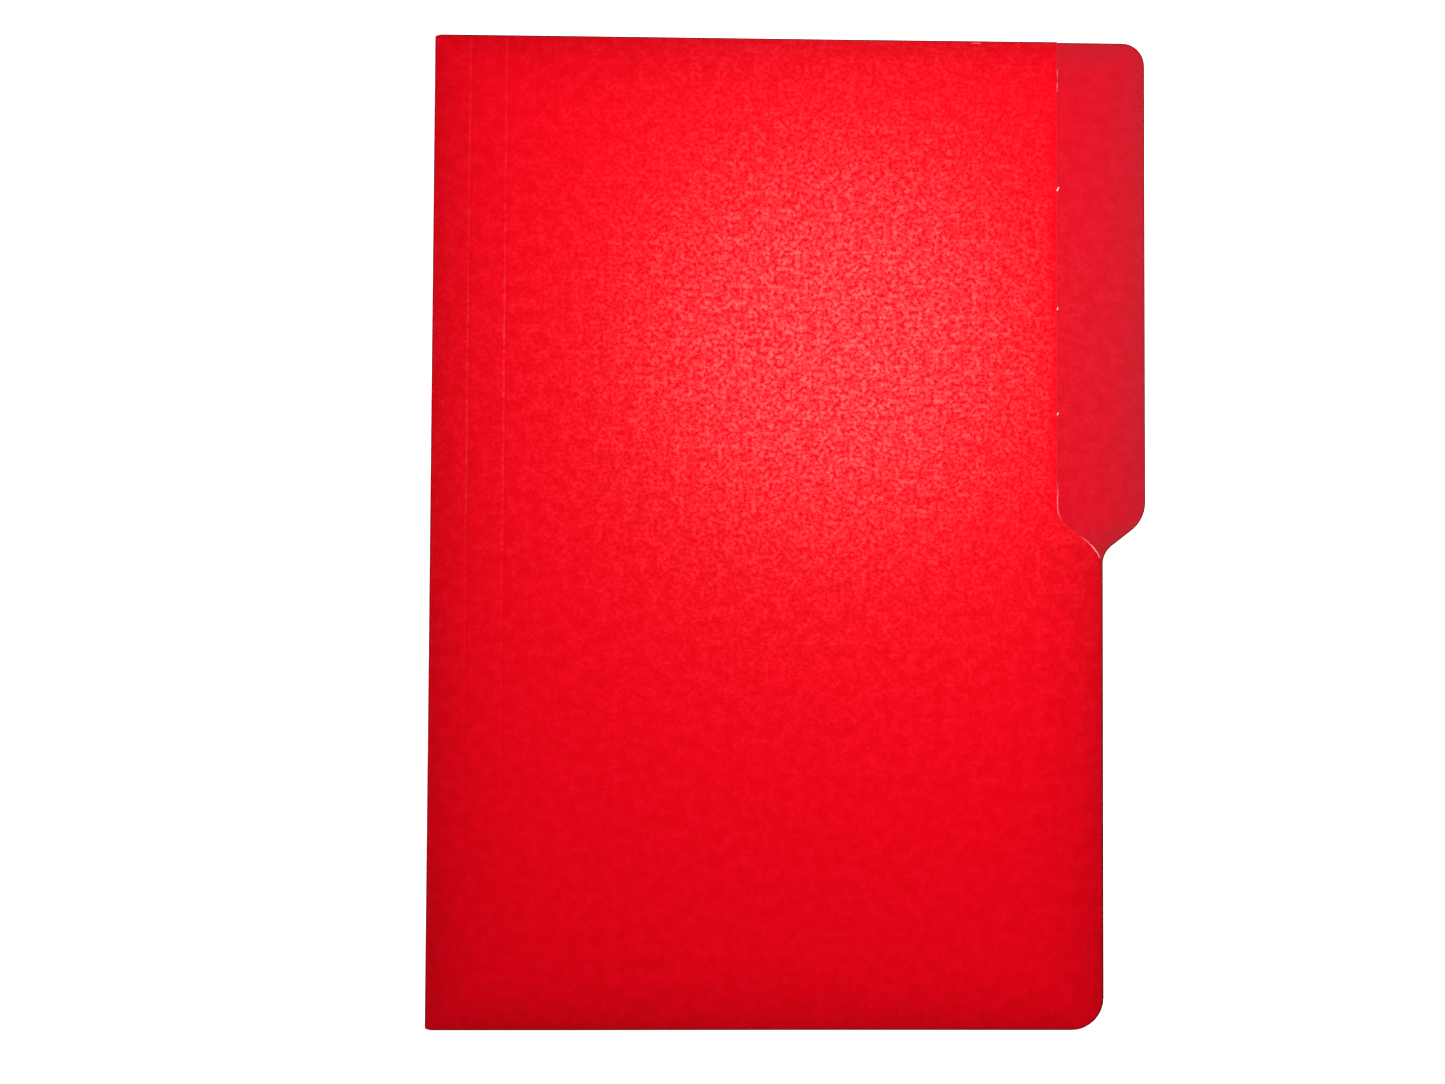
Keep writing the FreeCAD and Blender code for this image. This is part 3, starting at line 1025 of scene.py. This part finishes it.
def add_lamp(name, place, size, power, target):
    """A soft round lamp at place that points at target and isn't seen itself."""
    lamp = bpy.data.lights.new(name, "AREA")
    lamp.shape = "DISK"
    lamp.size = size
    lamp.energy = power
    holder = bpy.data.objects.new(name, lamp)
    holder.location = place
    holder.rotation_euler = (Vector(target) - Vector(place)).to_track_quat("-Z", "Y").to_euler()
    holder.visible_camera = False
    bpy.context.scene.collection.objects.link(holder)


class FOLDER_OT_stage(bpy.types.Operator):
    """Set up the camera, the soft lamp and the plain floor"""

    bl_idname = "folder.stage"
    bl_label = "Stage"

    def execute(self, context):
        scene = context.scene
        stage, colours = scene.folder_stage, scene.folder_colours
        camera = bpy.data.cameras.new("camera")
        camera.lens = stage.lens
        holder = bpy.data.objects.new("camera", camera)
        holder.location = (stage.camera_x, stage.camera_y, stage.camera_height)
        holder.rotation_euler = (stage.tilt, stage.lean, stage.roll)
        scene.collection.objects.link(holder)
        scene.camera = holder

        key = (stage.key_x, stage.key_y, stage.key_height)
        aim = (stage.key_x, stage.key_aim_y, 0)
        add_lamp("key_lamp", key, stage.key_size, stage.key_power, aim)

        world = bpy.data.worlds.new("studio")
        world.use_nodes = True
        background = world.node_tree.nodes["Background"]
        background.inputs["Color"].default_value = (1, 1, 1, 1)
        seen = world.node_tree.nodes.new("ShaderNodeLightPath").outputs["Is Camera Ray"]
        brightness = math_node(world.node_tree, "MAXIMUM", seen, stage.sky)
        world.node_tree.links.new(brightness, background.inputs["Strength"])
        scene.world = world     # white where the camera sees it, and dim where it lights the card
        scene.view_settings.view_transform = "Standard"

        reach = 3000 * MM
        clearance = 0.05 * MM
        data = bpy.data.meshes.new("floor")
        corners = [(-reach, -reach), (reach, -reach), (reach, reach), (-reach, reach)]
        data.from_pydata([(x, y, -clearance) for x, y in corners], [], [(0, 1, 2, 3)])
        floor = bpy.data.objects.new("floor", data)
        scene.collection.objects.link(floor)
        data.materials.append(floor_material(colours.floor, stage.floor_glow))
        return {"FINISHED"}


# ---------------------------------------------------------------- panel and registration


STEPS = (
    FOLDER_OT_back_sheet,
    FOLDER_OT_expansion_strip,
    FOLDER_OT_front_cover,
    FOLDER_OT_die_nicks,
    FOLDER_OT_stage,
)


class FOLDER_PT_panel(bpy.types.Panel):
    """The folder's pieces, in the order that they are made"""

    bl_idname = "FOLDER_PT_panel"
    bl_label = "File folder"
    bl_space_type = "VIEW_3D"
    bl_region_type = "UI"
    bl_category = "Folder"

    def draw(self, context):
        for step in STEPS:
            self.layout.operator(step.bl_idname)


SETTINGS = (
    ("folder_sizes", FolderSizes),
    ("folder_colours", FolderColours),
    ("card_finish", CardFinish),
    ("folder_stage", StageSettings),
)


def register():
    """Adds the settings, the steps and the panel."""
    for name, group in SETTINGS:
        bpy.utils.register_class(group)
        setattr(bpy.types.Scene, name, PointerProperty(type=group))
    for step in STEPS:
        bpy.utils.register_class(step)
    bpy.utils.register_class(FOLDER_PT_panel)


def unregister():
    """Takes the panel, the steps and the settings away again."""
    bpy.utils.unregister_class(FOLDER_PT_panel)
    for step in reversed(STEPS):
        bpy.utils.unregister_class(step)
    for name, group in reversed(SETTINGS):
        delattr(bpy.types.Scene, name)
        bpy.utils.unregister_class(group)


def main():
    """Makes the folder step by step."""
    register()
    for step in STEPS:
        family, name = step.bl_idname.split(".")
        getattr(getattr(bpy.ops, family), name)()


if __name__ == "__main__":
    main()
